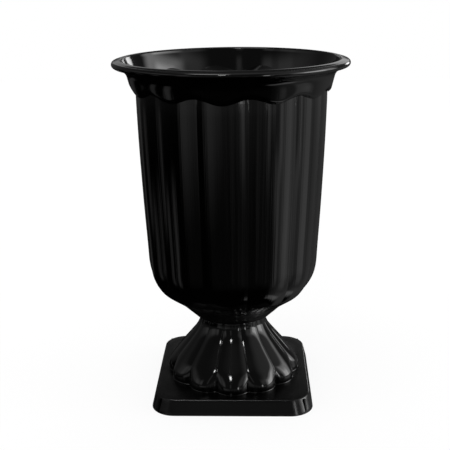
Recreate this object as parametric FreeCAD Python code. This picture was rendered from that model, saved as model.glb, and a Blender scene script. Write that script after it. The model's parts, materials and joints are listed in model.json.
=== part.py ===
import FreeCAD
import Part
import math
import os

# Footed garden vase in moulded black plastic: a lobed bowl with a flared rim and a scalloped
# collar, held on a lobed pedestal by a bolt, a rubber washer, a flat washer and a wing nut.
# Millimetres, +Z up. The origin is the middle of the plinth's underside, and -Y is the front.

# Common values
LOBES = 12                  # lobes round the bowl, round the pedestal and in the collar
BOWL_SECTIONS = 17          # rings that a loft runs through
BELL_SECTIONS = 11
OVERRUN = 2.0               # how far a cutting shape runs past the face it opens

# Plinth, the square foot of the pedestal
PLINTH_SIDE = 199.5         # side length at the floor
PLINTH_DRAFT = 4.9          # how far each side leans in by the top
PLINTH_HEIGHT = 19.3
PLINTH_CORNER = 29.0        # corner radius seen from above
PLINTH_EDGE = 1.6           # rounding of the top edge
PEDESTAL_WALL = 2.6
RIB_THICKNESS = 2.0         # stiffening ribs under the plinth's top
RIB_LIFT = 1.5              # gap from the floor to the ribs

# Bell, the lobed flare from the plinth up to the neck
BELL_HEIGHT = 71.0
BELL_INSET = 14.95          # from the plinth's side in to the lobe crests of the bell
BELL_RADIUS = PLINTH_SIDE / 2 - BELL_INSET
NECK_RADIUS = 42.0
BELL_LOBE_DEPTH = 8.0       # from a lobe's crest in to the valley beside it
BELL_OUTLINE_SHARES = (     # height, flare from neck to bell radius, lobe depth
    (0.00, 0.90, 0.88),
    (0.05, 0.98, 0.97),
    (0.11, 1.00, 1.00),
    (0.20, 0.94, 0.98),
    (0.30, 0.82, 0.90),
    (0.42, 0.65, 0.78),
    (0.55, 0.475, 0.62),
    (0.68, 0.29, 0.43),
    (0.80, 0.135, 0.25),
    (0.91, 0.04, 0.11),
    (1.00, 0.00, 0.00),
)

# Neck plate and spigot that carry the bowl
NECK_PLATE = 3.0
SPIGOT_HEIGHT = 5.0
SPIGOT_WALL = 2.6
SPIGOT_CLEARANCE = 0.3      # all round, between the spigot and the bowl's socket
SOCKET_HEADROOM = 1.0       # from the spigot's top to the bowl's floor

# Hub, the round foot of the bowl
HUB_HEIGHT = 14.7
HUB_OVERHANG = 0.4          # how far the hub's foot stands out past the neck
HUB_FLARE = 8.6             # how far the hub widens from its foot to its top
HUB_FOOT_RADIUS = NECK_RADIUS + HUB_OVERHANG
HUB_RADIUS = HUB_FOOT_RADIUS + HUB_FLARE
HUB_STEP = 0.7              # how far the hub's top edge stands out past the lobes
HUB_FOOT_ROUNDING = 1.8
HUB_BULGE = 0.5             # how far the hub's side swells from straight
SOCKET_WALL = 3.9           # round the socket, measured at the hub's foot
SOCKET_RADIUS = HUB_FOOT_RADIUS - SOCKET_WALL
BOWL_FLOOR = 3.0
BOWL_WALL = 2.6

# Cup and wall of the bowl, measured at the lobe crests
CUP_HEIGHT = 75.0
CUP_RADIUS = 105.5
WALL_HEIGHT = 203.5
MOUTH_RADIUS = 115.0
VALLEY_SHARE = 0.0338       # lobe depth as a share of the crest radius
BOWL_TURN = -3.6            # degrees, lobes of the bowl against lobes of the pedestal
CUP_OUTLINE_SHARES = (      # height, radius from hub to cup
    (-0.07, -0.08),
    (0.00, 0.00),
    (0.08, 0.105),
    (0.16, 0.25),
    (0.24, 0.415),
    (0.32, 0.58),
    (0.39, 0.70),
    (0.48, 0.80),
    (0.60, 0.89),
    (0.77, 0.962),
    (1.00, 1.00),
)
WALL_OUTLINE_SHARES = (     # height, radius from cup to mouth
    (0.20, 0.315),
    (0.44, 0.60),
    (0.70, 0.83),
    (1.00, 1.00),
)

# Collar, the band that hangs over the lobes in scallops
COLLAR_HEIGHT = 18.0        # from the scallops' middle line up to the shoulder
COLLAR_STAND_OUT = 8.4      # from the lobe crests out to the shoulder
COLLAR_RADIUS = MOUTH_RADIUS + COLLAR_STAND_OUT
COLLAR_LIP = 0.4            # how far the lowest scallops stand off the lobes
COLLAR_CURL_HEIGHT = 10.6   # height over which the lower edge curls in
COLLAR_CURL_BULGE = 1.05    # how far that curl swells from straight
COLLAR_TAPER = 1.6          # how far the band leans in above the curl
SCALLOP_RISE = 3.5          # half the height of the wave

# Rim, the flared lip
RIM_HEIGHT = 18.5           # from the collar's shoulder to the top
RIM_FLARE = 17.8            # from the shoulder out to the outermost edge
RIM_RADIUS = COLLAR_RADIUS + RIM_FLARE
RIM_BEAD = 3.6              # radius of the rounded outer edge
RIM_BEAD_DROP = 4.6         # from the top down to the middle of the bead
COVE_HEIGHT = 8.6
COVE_WIDTH = 8.6
COVE_SAG = 1.7              # how far the cove is hollowed from straight
LIP_FLAT = 6.0              # level part of the top, inside the bead
LIP_ROUNDING = 2.6          # from the top into the mouth
MOUTH_FLARE = 4.7           # from the shoulder out to where the top turns into the mouth
MOUTH_EDGE_RADIUS = COLLAR_RADIUS + MOUTH_FLARE
BAND_WALL = 2.8             # collar's wall at the foot of the smooth band inside the mouth
BAND_RADIUS = COLLAR_RADIUS - BAND_WALL
BAND_SAG = 1.3              # how far the band is hollowed from straight
LEDGE_RISE = 10.2           # from the scallops' middle line up to the ledge at the band
LEDGE_DROP = 5.0            # how far the ledge falls towards the lobed wall

# Bolt, washers and wing nut
BOLT_RADIUS = 6.0
TURNING_CLEARANCE = 0.1     # bolt in the bowl's floor
THREAD_CLEARANCE = 0.05     # bolt in the wing nut
PASSING_CLEARANCE = 0.3     # bolt in the neck plate and the washers
BOLT_FLANGE_RADIUS = 16.0
BOLT_FLANGE = 3.0
BOLT_HEAD_SIDES = 6
BOLT_HEAD_FLATS = 24.0      # across the flats
BOLT_HEAD = 8.0
BOLT_TIP_CHAMFER = 1.5
BOLT_TAIL = 3.0             # thread left below the nut when it is slackest
SEAL_RADIUS = 18.0
SEAL_THICKNESS = 3.0
FLAT_WASHER_RADIUS = 16.0
FLAT_WASHER_THICKNESS = 2.0
NUT_HEIGHT = 12.0
NUT_TOP_RADIUS = 11.0
NUT_FOOT_RADIUS = 9.5
NUT_TRAVEL = 12.0           # how far the nut can be slackened
WING_SPAN = 54.0
WING_HEIGHT = 16.0
WING_DROP = 7.0             # how far the wings reach below the nut
WING_THICKNESS = 3.6

# Levels that follow from the sizes above
PLINTH_TOP = PLINTH_HEIGHT
SEAT = PLINTH_TOP + BELL_HEIGHT
SOCKET_TOP = SEAT + SPIGOT_HEIGHT + SOCKET_HEADROOM
FLOOR_TOP = SOCKET_TOP + BOWL_FLOOR
HUB_TOP = SEAT + HUB_HEIGHT
CUP_TOP = HUB_TOP + CUP_HEIGHT
SCALLOP_LINE = CUP_TOP + WALL_HEIGHT
SHOULDER = SCALLOP_LINE + COLLAR_HEIGHT
RIM_TOP = SHOULDER + RIM_HEIGHT
HEAD_SEAT = FLOOR_TOP + SEAL_THICKNESS
PLATE_UNDERSIDE = SEAT - NECK_PLATE
NUT_TOP = PLATE_UNDERSIDE - FLAT_WASHER_THICKNESS
NUT_FOOT = NUT_TOP - NUT_HEIGHT
BOLT_TIP = NUT_FOOT - NUT_TRAVEL - BOLT_TAIL


def at(radius, height):
    return FreeCAD.Vector(radius, 0, height)


def polar(radius, degrees, height):
    """A point at an angle counted from the front, growing towards +X."""
    angle = math.radians(degrees)
    return FreeCAD.Vector(radius * math.sin(angle), -radius * math.cos(angle), height)


def between(low, high, share):
    return low + (high - low) * share


def line(start, end):
    return Part.LineSegment(start, end).toShape()


def arc(start, middle, end):
    return Part.Arc(start, middle, end).toShape()


def bowed(start, end, bulge):
    """An arc whose middle stands off the straight line by the bulge, to the right of it."""
    along = end - start
    away = FreeCAD.Vector(along.z, 0, -along.x).normalize()
    return arc(start, (start + end) / 2 + away * bulge, end)


def rounding(start, corner, end):
    """The quarter circle from start to end that takes the place of a sharp corner."""
    return arc(start, corner + (start - corner + end - corner) * (1 - math.sqrt(0.5)), end)


def turned(edges):
    """The solid that an outline in the XZ plane makes when it is turned about the Z axis."""
    outline = Part.Face(Part.Wire(edges))
    return outline.revolve(FreeCAD.Vector(0, 0, 0), FreeCAD.Vector(0, 0, 1), 360)


def disc(radius, bottom, top):
    return Part.makeCylinder(radius, top - bottom, FreeCAD.Vector(0, 0, bottom))


def lobed_ring(height, crest, depth, turn):
    """A closed wire of equal arcs that meet in sharp valleys."""
    step = 360.0 / LOBES
    edges = []
    for lobe in range(LOBES):
        middle = turn + lobe * step
        edges.append(arc(
            polar(crest - depth, middle - step / 2, height),
            polar(crest, middle, height),
            polar(crest - depth, middle + step / 2, height),
        ))
    return Part.Wire(edges)


def lobed_solid(outline, turn):
    """A loft through one lobed ring for each (height, crest radius, lobe depth)."""
    rings = [lobed_ring(height, crest, depth, turn) for height, crest, depth in outline]
    return Part.makeLoft(rings, True, False)


def evenly_spaced(outline, count):
    """The same outline as points at equal steps along a smooth curve."""
    curve = Part.BSplineCurve()
    curve.interpolate([FreeCAD.Vector(crest, depth, height) for height, crest, depth in outline])
    return [(point.z, point.x, point.y) for point in curve.discretize(Number=count)]


def inset(outline, wall):
    """The outline moved inwards by the wall, square to the surface at the crests."""
    moved = []
    for index, (height, crest, depth) in enumerate(outline):
        below = outline[max(index - 1, 0)]
        above = outline[min(index + 1, len(outline) - 1)]
        rise = above[0] - below[0]
        flare = above[1] - below[1]
        length = math.hypot(rise, flare)
        moved.append((
            height + wall * flare / length,
            crest - wall * rise / length,
            depth * (crest - wall) / crest,
        ))
    return moved


def rounded_square(side, corner, height):
    reach = side / 2
    straight = reach - corner
    bend = straight + corner * math.sqrt(0.5)
    quarter = [
        line(FreeCAD.Vector(reach, -straight, height), FreeCAD.Vector(reach, straight, height)),
        arc(
            FreeCAD.Vector(reach, straight, height),
            FreeCAD.Vector(bend, bend, height),
            FreeCAD.Vector(straight, reach, height),
        ),
    ]
    return Part.Wire([
        edge.rotated(FreeCAD.Vector(0, 0, 0), FreeCAD.Vector(0, 0, 1), degrees)
        for degrees in (0, 90, 180, 270)
        for edge in quarter
    ])


def scallop_blocks(line_height, radius, slope):
    """What lies under the scallops' wave: low on each lobe and high on each valley.

    The wave is made of equal arcs. It runs at line_height at the given radius, and falls
    towards the axis by the slope.
    """
    start = RIM_RADIUS + OVERRUN
    reach = start - MOUTH_RADIUS / 2
    half = radius * math.tan(math.pi / LOBES)
    wave_radius = (half * half / 4 + SCALLOP_RISE * SCALLOP_RISE) / (2 * SCALLOP_RISE)
    level = line_height + slope * (start - radius)
    low = level - SCALLOP_RISE
    part_way = low + wave_radius - math.sqrt(wave_radius ** 2 - (half / 4) ** 2)
    bottom = level - WALL_HEIGHT / 2

    def point(side, height):
        return FreeCAD.Vector(side, -start, height)

    face = Part.Face(Part.Wire([
        line(point(-half, bottom), point(-half, low)),
        arc(point(-half, low), point(-half * 3 / 4, part_way), point(-half / 2, level)),
        arc(point(-half / 2, level), point(0, level + SCALLOP_RISE), point(half / 2, level)),
        arc(point(half / 2, level), point(half * 3 / 4, part_way), point(half, low)),
        line(point(half, low), point(half, bottom)),
        line(point(half, bottom), point(-half, bottom)),
    ]))
    block = face.extrude(FreeCAD.Vector(0, reach, -slope * reach))
    blocks = []
    for valley in range(LOBES):
        copy = block.copy()
        degrees = BOWL_TURN + (valley + 0.5) * 360.0 / LOBES
        copy.rotate(FreeCAD.Vector(0, 0, 0), FreeCAD.Vector(0, 0, 1), degrees)
        blocks.append(copy)
    return blocks


def bell_outline():
    outline = [
        (
            PLINTH_TOP + BELL_HEIGHT * height_share,
            between(NECK_RADIUS, BELL_RADIUS, flare_share),
            BELL_LOBE_DEPTH * depth_share,
        )
        for height_share, flare_share, depth_share in BELL_OUTLINE_SHARES
    ]
    return evenly_spaced(outline, BELL_SECTIONS)


def make_pedestal():
    outline = bell_outline()
    top_side = PLINTH_SIDE - 2 * PLINTH_DRAFT
    plinth = Part.makeLoft([
        rounded_square(PLINTH_SIDE, PLINTH_CORNER, 0),
        rounded_square(top_side, PLINTH_CORNER, PLINTH_TOP),
    ], True, True)
    top_edges = [edge for edge in plinth.Edges if edge.BoundBox.ZMin > PLINTH_TOP / 2]
    plinth = plinth.makeFillet(PLINTH_EDGE, top_edges)
    shell = plinth.fuse(lobed_solid(outline, 0))

    room = PLINTH_TOP - PEDESTAL_WALL
    lean = 2 * PLINTH_DRAFT * room / PLINTH_HEIGHT
    under_side = PLINTH_SIDE - 2 * PEDESTAL_WALL
    under_corner = PLINTH_CORNER - PEDESTAL_WALL
    under_plinth = Part.makeLoft([
        rounded_square(under_side, under_corner, 0),
        rounded_square(under_side - lean, under_corner, room),
    ], True, True)

    inner = inset(outline, PEDESTAL_WALL)
    under_bell = lobed_solid(inner, 0).fuse(disc(NECK_RADIUS - PEDESTAL_WALL, SEAT / 2, SEAT))
    under_bell = under_bell.cut(disc(PLINTH_SIDE, PLATE_UNDERSIDE, RIM_TOP))
    first_height, first_crest, first_depth = inner[0]
    way_out = Part.Face(lobed_ring(first_height + OVERRUN, first_crest, first_depth, 0))
    way_out = way_out.extrude(FreeCAD.Vector(0, 0, -first_height - 2 * OVERRUN))

    ribs = []
    for index in range(LOBES):
        rib = Part.makeBox(RIB_THICKNESS, PLINTH_SIDE, room - RIB_LIFT)
        rib.translate(FreeCAD.Vector(-RIB_THICKNESS / 2, -PLINTH_SIDE, RIB_LIFT))
        rib.rotate(FreeCAD.Vector(0, 0, 0), FreeCAD.Vector(0, 0, 1), (index + 0.5) * 360.0 / LOBES)
        ribs.append(rib)
    ribs = ribs[0].fuse(ribs[1:])

    shell = shell.cut([under_plinth.cut(ribs), under_bell, way_out])
    spigot_radius = SOCKET_RADIUS - SPIGOT_CLEARANCE
    spigot = disc(spigot_radius, SEAT - NECK_PLATE / 2, SEAT + SPIGOT_HEIGHT)
    spigot = spigot.cut(disc(spigot_radius - SPIGOT_WALL, 0, RIM_TOP))
    bolt_hole = disc(BOLT_RADIUS + PASSING_CLEARANCE, 0, RIM_TOP)
    return shell.fuse(spigot).cut(bolt_hole)


def bowl_outline():
    foot = HUB_RADIUS - HUB_STEP
    points = [
        (HUB_TOP + CUP_HEIGHT * height_share, between(foot, CUP_RADIUS, radius_share))
        for height_share, radius_share in CUP_OUTLINE_SHARES
    ] + [
        (CUP_TOP + WALL_HEIGHT * height_share, between(CUP_RADIUS, MOUTH_RADIUS, radius_share))
        for height_share, radius_share in WALL_OUTLINE_SHARES
    ]
    points.append((SHOULDER, MOUTH_RADIUS))
    outline = [(height, radius, radius * VALLEY_SHARE) for height, radius in points]
    return evenly_spaced(outline, BOWL_SECTIONS)


def make_hub():
    """The round foot, solid but for the socket that drops over the spigot."""
    foot = at(HUB_FOOT_RADIUS - HUB_FOOT_ROUNDING, SEAT)
    side_foot = at(HUB_FOOT_RADIUS, SEAT + HUB_FOOT_ROUNDING)
    side_top = at(HUB_RADIUS, HUB_TOP)
    inner_top = at(HUB_RADIUS - BOWL_WALL, HUB_TOP + BOWL_WALL)
    middle_top = at(0, HUB_TOP + BOWL_WALL)
    return turned([
        line(at(0, SEAT), foot),
        rounding(foot, at(HUB_FOOT_RADIUS, SEAT), side_foot),
        bowed(side_foot, side_top, HUB_BULGE),
        line(side_top, inner_top),
        line(inner_top, middle_top),
        line(middle_top, at(0, SEAT)),
    ])


def make_collar_and_rim():
    """The ring above the lobes: scalloped collar, shoulder, cove, bead and lip."""
    low = SCALLOP_LINE - SCALLOP_RISE
    foot_radius = MOUTH_RADIUS + COLLAR_LIP
    curl_foot = at(foot_radius, low)
    curl_top = at(COLLAR_RADIUS - COLLAR_TAPER, low + COLLAR_CURL_HEIGHT)
    shoulder = at(COLLAR_RADIUS, SHOULDER)
    cove_end = at(COLLAR_RADIUS + COVE_WIDTH, SHOULDER + COVE_HEIGHT)
    bead_level = RIM_TOP - RIM_BEAD_DROP
    bead_centre = RIM_RADIUS - RIM_BEAD
    bead_foot = at(bead_centre, bead_level - RIM_BEAD)
    bead_top = at(bead_centre, bead_level + RIM_BEAD)
    lip = at(MOUTH_EDGE_RADIUS + LIP_ROUNDING, RIM_TOP)
    lip_end = at(MOUTH_EDGE_RADIUS, RIM_TOP - LIP_ROUNDING)
    top_end = at(lip.x + LIP_FLAT / 2, RIM_TOP)
    inside = MOUTH_RADIUS / 2
    under = low - OVERRUN
    ring = turned([
        line(at(inside, under), at(foot_radius, under)),
        line(at(foot_radius, under), curl_foot),
        bowed(curl_foot, curl_top, COLLAR_CURL_BULGE),
        line(curl_top, shoulder),
        bowed(shoulder, cove_end, -COVE_SAG),
        line(cove_end, bead_foot),
        arc(bead_foot, at(RIM_RADIUS, bead_level), bead_top),
        line(bead_top, top_end),
        line(top_end, lip),
        rounding(lip, at(MOUTH_EDGE_RADIUS, RIM_TOP), lip_end),
        line(lip_end, at(inside, lip_end.z)),
        line(at(inside, lip_end.z), at(inside, under)),
    ])
    return ring.cut(scallop_blocks(SCALLOP_LINE, COLLAR_RADIUS, 0))


def make_bowl():
    outline = bowl_outline()
    body = lobed_solid(outline, BOWL_TURN)
    body = body.fuse([make_hub(), make_collar_and_rim()])

    room = lobed_solid(inset(outline, BOWL_WALL), BOWL_TURN)
    ledge_top = SCALLOP_LINE + LEDGE_RISE
    band_foot = at(BAND_RADIUS, ledge_top)
    band_top = at(MOUTH_EDGE_RADIUS, RIM_TOP - LIP_ROUNDING)
    lowest = ledge_top - SCALLOP_RISE - LEDGE_DROP - OVERRUN
    highest = RIM_TOP + OVERRUN
    mouth = turned([
        line(at(0, lowest), at(BAND_RADIUS, lowest)),
        line(at(BAND_RADIUS, lowest), band_foot),
        bowed(band_foot, band_top, -BAND_SAG),
        line(band_top, at(MOUTH_EDGE_RADIUS, highest)),
        line(at(MOUTH_EDGE_RADIUS, highest), at(0, highest)),
        line(at(0, highest), at(0, lowest)),
    ])
    ledge_slope = LEDGE_DROP / (BAND_RADIUS - MOUTH_RADIUS + BOWL_WALL)
    mouth = mouth.cut(scallop_blocks(ledge_top, BAND_RADIUS, ledge_slope))
    hub_side = between(HUB_FOOT_RADIUS, HUB_RADIUS, (FLOOR_TOP - SEAT) / HUB_HEIGHT)
    floor_edge = at(hub_side - BOWL_WALL, FLOOR_TOP)
    floor_rise = at(HUB_RADIUS - BOWL_WALL, HUB_TOP + BOWL_WALL)
    middle_top = at(0, HUB_TOP + 2 * BOWL_WALL)
    hub_room = turned([
        line(at(0, FLOOR_TOP), floor_edge),
        line(floor_edge, floor_rise),
        line(floor_rise, middle_top),
        line(middle_top, at(0, FLOOR_TOP)),
    ])
    socket = disc(SOCKET_RADIUS, SEAT - OVERRUN, SOCKET_TOP)
    bolt_hole = disc(BOLT_RADIUS + TURNING_CLEARANCE, SEAT, FLOOR_TOP + OVERRUN)
    return body.cut([room, mouth, hub_room, socket, bolt_hole])


def make_clamp_bolt():
    shank = disc(BOLT_RADIUS, BOLT_TIP, HEAD_SEAT)
    tip = [edge for edge in shank.Edges if edge.BoundBox.ZMax < BOLT_TIP + BOLT_TIP_CHAMFER]
    shank = shank.makeChamfer(BOLT_TIP_CHAMFER, tip)
    flange = disc(BOLT_FLANGE_RADIUS, HEAD_SEAT, HEAD_SEAT + BOLT_FLANGE)
    corner = BOLT_HEAD_FLATS / 2 / math.cos(math.pi / BOLT_HEAD_SIDES)
    corners = [
        polar(corner, index * 360.0 / BOLT_HEAD_SIDES, HEAD_SEAT + BOLT_FLANGE)
        for index in range(BOLT_HEAD_SIDES + 1)
    ]
    head = Part.Face(Part.makePolygon(corners)).extrude(FreeCAD.Vector(0, 0, BOLT_HEAD))
    return shank.fuse([flange, head])


def make_washer(radius, hole, bottom, thickness):
    return disc(radius, bottom, bottom + thickness).cut(disc(hole, 0, RIM_TOP))


def make_wing_nut():
    hub = Part.makeCone(NUT_FOOT_RADIUS, NUT_TOP_RADIUS, NUT_HEIGHT, FreeCAD.Vector(0, 0, NUT_FOOT))
    tip = WING_SPAN / 2
    foot = NUT_FOOT - WING_DROP
    crown = foot + WING_HEIGHT
    wings = []
    for side in (1, -1):
        root_low = at(0, NUT_FOOT + WING_THICKNESS)
        root_high = at(0, NUT_TOP - WING_THICKNESS)
        low = at(side * (tip - WING_HEIGHT / 2), foot)
        high = at(side * (tip - WING_HEIGHT / 3), crown)
        outer = at(side * tip, (foot + crown) / 2)
        wing = Part.Face(Part.Wire([
            line(root_low, low),
            arc(low, outer, high),
            line(high, root_high),
            line(root_high, root_low),
        ]))
        wing.translate(FreeCAD.Vector(0, -WING_THICKNESS / 2, 0))
        wings.append(wing.extrude(FreeCAD.Vector(0, WING_THICKNESS, 0)))
    return hub.fuse(wings).cut(disc(BOLT_RADIUS + THREAD_CLEARANCE, 0, RIM_TOP))


def main():
    os.makedirs("parts", exist_ok=True)
    pieces = {
        "pedestal": make_pedestal(),
        "bowl": make_bowl(),
        "clamp_bolt": make_clamp_bolt(),
        "seal_washer": make_washer(
            SEAL_RADIUS, BOLT_RADIUS + PASSING_CLEARANCE, FLOOR_TOP, SEAL_THICKNESS),
        "flat_washer": make_washer(
            FLAT_WASHER_RADIUS, BOLT_RADIUS + PASSING_CLEARANCE, NUT_TOP, FLAT_WASHER_THICKNESS),
        "wing_nut": make_wing_nut(),
    }
    for name, shape in pieces.items():
        shape.exportStep("parts/" + name + ".step")
        box = shape.BoundBox
        print(name, "solids", len(shape.Solids), "valid", shape.isValid(),
              "volume", round(shape.Volume), "height", round(box.ZMin, 2), round(box.ZMax, 2))


main()
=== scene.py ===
import bmesh
import bpy
import json
import math
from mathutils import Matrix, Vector

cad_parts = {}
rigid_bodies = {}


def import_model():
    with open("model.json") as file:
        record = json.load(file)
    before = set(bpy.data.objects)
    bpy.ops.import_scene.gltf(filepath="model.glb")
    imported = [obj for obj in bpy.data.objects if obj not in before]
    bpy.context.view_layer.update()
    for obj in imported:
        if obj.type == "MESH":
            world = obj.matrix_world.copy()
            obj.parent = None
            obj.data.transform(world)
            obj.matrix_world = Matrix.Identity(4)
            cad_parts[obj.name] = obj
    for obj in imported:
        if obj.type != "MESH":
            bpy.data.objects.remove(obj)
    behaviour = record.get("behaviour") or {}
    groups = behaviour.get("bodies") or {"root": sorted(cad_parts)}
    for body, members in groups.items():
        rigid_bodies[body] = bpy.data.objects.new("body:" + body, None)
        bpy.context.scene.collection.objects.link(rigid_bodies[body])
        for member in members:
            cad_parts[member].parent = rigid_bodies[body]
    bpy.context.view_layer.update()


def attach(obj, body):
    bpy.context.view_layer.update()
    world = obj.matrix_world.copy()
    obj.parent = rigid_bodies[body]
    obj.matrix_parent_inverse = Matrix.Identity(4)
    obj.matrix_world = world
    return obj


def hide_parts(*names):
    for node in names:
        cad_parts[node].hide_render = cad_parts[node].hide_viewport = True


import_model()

# Sizes in metres, apart from the outlines. Heights are above the floor, and radii are from the
# vase's axis
MM = 0.001
MERGE_DISTANCE = 0.02 * MM
NEAR = 0.1 * MM             # how near a point lies to a level to count as on it
SMOOTH_ANGLE = math.radians(28)

# Lobes, alike on the bowl and the pedestal
LOBES = 12
LOBE_ANGLE = 2 * math.pi / LOBES
HALF_LOBE = LOBE_ANGLE / 2
COLUMNS = 24                # faces across one lobe
VALLEY_MISS = 0.01          # how far beside a valley an edge may lie, as a share of a lobe

# Lobed wall of the bowl
BOWL_TURN = math.radians(-3.6)
BOWL_WALL = 2.6 * MM
WALL_OUTLINE = (            # radius at the crests and height, in mm
    (49.7, 99.6), (55.4, 105.0), (61.6, 111.0), (67.9, 117.0), (76.2, 123.0), (84.9, 129.0),
    (91.3, 134.2), (96.6, 141.0), (101.5, 150.0), (105.0, 162.7), (106.4, 180.0), (108.7, 220.7),
    (111.2, 269.5), (113.4, 322.5), (115.0, 383.5),
)
WALL_ROWS = 76
VALLEY_SHARE = 0.0338       # depth of the valleys as a share of the crest radius
LOBES_BEGIN = 107.0 * MM    # the lobes rise out of the smooth hub from here
LOBES_FULL = 138.0 * MM     # and have their full depth here
VALLEY_LOW = 106.0 * MM     # the valleys are rounded between these heights
VALLEY_HIGH = 378.0 * MM
VALLEY_ROUNDING = 0.7 * MM
WALL_LEVEL_TOP = 374.0 * MM     # the wall's rows are level up to here and scalloped above
WALL_TUCK = 2.0 * MM            # how far the wall runs up behind the collar's edge
INNER_LOW = 103.5 * MM
INNER_LEVEL_TOP = 372.0 * MM

# Hub of the bowl, from the foot of the wall in to the socket and the bolt hole, and back out
# over the floor inside
HUB_OUTLINE = (             # radius and height, in mm
    (49.7, 99.6), (49.4, 99.2), (48.8, 98.9), (42.6, 97.1), (42.0, 97.0), (38.5, 97.0),
    (38.5, 97.9), (6.1, 97.9), (6.1, 99.3), (44.0, 99.3), (45.3, 99.7), (46.1, 100.6),
    (46.4, 101.6),
)

# Collar, whose lower edge is scalloped
SCALLOP_LINE = 383.5 * MM
SCALLOP_RISE = 3.5 * MM     # half the height of the wave
COLLAR_TOP = 400.0 * MM
COLLAR_RADIUS = 123.2 * MM
COLLAR_LEAN = 0.25          # how far the face leans in for each unit of height
COLLAR_ROLL = 8.0 * MM      # radius of its rolled lower edge
COLLAR_ROLL_END = math.radians(65)

# Rim, and the smooth band and the ledge inside the mouth
COVE_OUTLINE = (            # radius and height, in mm
    (123.2, 400.0), (123.9, 402.0), (125.0, 404.0), (126.7, 406.0), (129.3, 408.0),
    (132.8, 409.9), (138.8, 411.6),
)
BEAD_CENTRE = (137.52 * MM, 414.9 * MM)
BEAD_RADIUS = 3.6 * MM
BEAD_START = math.radians(-70)
BEAD_SWEEP = math.radians(160)
LIP_OUTLINE = (             # radius and height, in mm
    (137.6, 418.5), (135.6, 419.2), (133.2, 419.75), (130.7, 419.85), (129.2, 419.4), (128.3, 418.5),
    (128.1, 417.4),
)
RIM_ROWS = 14               # rows in each of the cove, the bead and the lip
BAND_TOP = 417.4 * MM
BAND_LEVEL_LOW = 402.0 * MM     # the band's rows are level down to here and scalloped below
BAND_ROWS = 6
LEDGE_LINE = 393.7 * MM
LEDGE_RADIUS = 120.6 * MM
LEDGE_DROP = 5.0 * MM       # from the ledge's outer edge down to the wall
BAND_FLARE = 7.5 * MM
BAND_HOLLOW = 1.8 * MM      # four times the depth of the band's hollow

# Bell of the pedestal
BELL_OUTLINE = (            # height, crest radius and lobe depth, in mm
    (20.0, 84.3, 7.8), (23.4, 84.8, 8.0), (27.4, 84.6, 8.0), (33.5, 82.2, 6.4), (38.0, 79.3, 4.6),
    (42.0, 76.4, 3.2), (45.0, 74.0, 2.7), (49.1, 70.6, 2.5), (58.3, 62.9, 2.4), (67.6, 55.3, 2.2),
    (74.5, 49.8, 1.9), (79.5, 46.4, 1.6), (83.0, 44.5, 1.4), (86.0, 43.2, 1.2), (89.0, 42.3, 1.0),
    (93.2, 41.8, 0.8), (95.6, 41.7, 0.7),
)
BELL_ROWS = 44
FOOT_OUTLINE = (            # the fine fillet where the bell stands on the plinth, in the same order
    (19.3, 85.6, 7.8), (19.36, 85.0, 7.8), (19.6, 84.5, 7.8),
)
BELL_VALLEY_LOW = 20.05 * MM
BELL_VALLEY_HIGH = 95.0 * MM
BELL_VALLEY_ROUNDING = 0.25 * MM
PEDESTAL_WALL = 2.6 * MM
BELL_INSIDE_LOW = 19.0 * MM
BELL_INSIDE_HIGH = 85.5 * MM
NECK_PLATE_TOP = 90.3 * MM
NECK_OUTLINE = (            # seam, spigot and neck plate: radius and height, in mm
    (41.2, 96.5), (41.0, 96.8), (40.7, 96.9), (38.2, 96.9), (38.2, 97.3), (37.9, 97.6),
    (36.0, 97.6), (35.6, 97.2), (35.6, 90.3), (6.3, 90.3), (6.3, 87.3), (38.6, 87.3),
    (39.1, 87.0),
)

# Plinth, and the ribs under it
PLINTH_SIDE = 199.5 * MM
PLINTH_TOP = 19.3 * MM
PLINTH_CORNER = 29.0 * MM
PLINTH_DRAFT = 4.9 * MM
PLINTH_EDGE = 1.6 * MM      # rounding of the top edge
PLINTH_EDGE_ROWS = 8
PLINTH_EDGE_START = math.radians(14)
PLINTH_EDGE_SWEEP = math.radians(76)
PLINTH_SIDE_ROWS = (4 * MM, 9 * MM, 14 * MM)
PLINTH_TOP_RING = 9.0 * MM      # how far in from the side the flat top is divided
PLINTH_CHAMFER = 0.4 * MM       # at the floor
PLINTH_CHAMFER_TOP = 0.5 * MM
INNER_CHAMFER = 1.0 * MM        # under the top, inside
INNER_RING = 3.0 * MM
RIB_THICKNESS = 2.0 * MM
RIB_FOOT = 1.5 * MM             # gap from the floor to the ribs
RIB_INNER_END = 72.0 * MM
RIB_SINK = 0.8 * MM             # how far the ribs run up into the plinth's top
RIB_CORNER_REACH = 2.0 * MM     # how much further the corner ribs run
RIB_END_GAP = 2.4 * MM          # a rib's upper end stops this far short of the side's foot
RIB_DRAFT = 3.6 * MM            # and its lower end reaches this much further out
RIB_MIDDLE = 90.0 * MM          # between a rib's inner and outer end
RIB_LOW = 5.0 * MM              # between a rib's lower and upper edge

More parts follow.
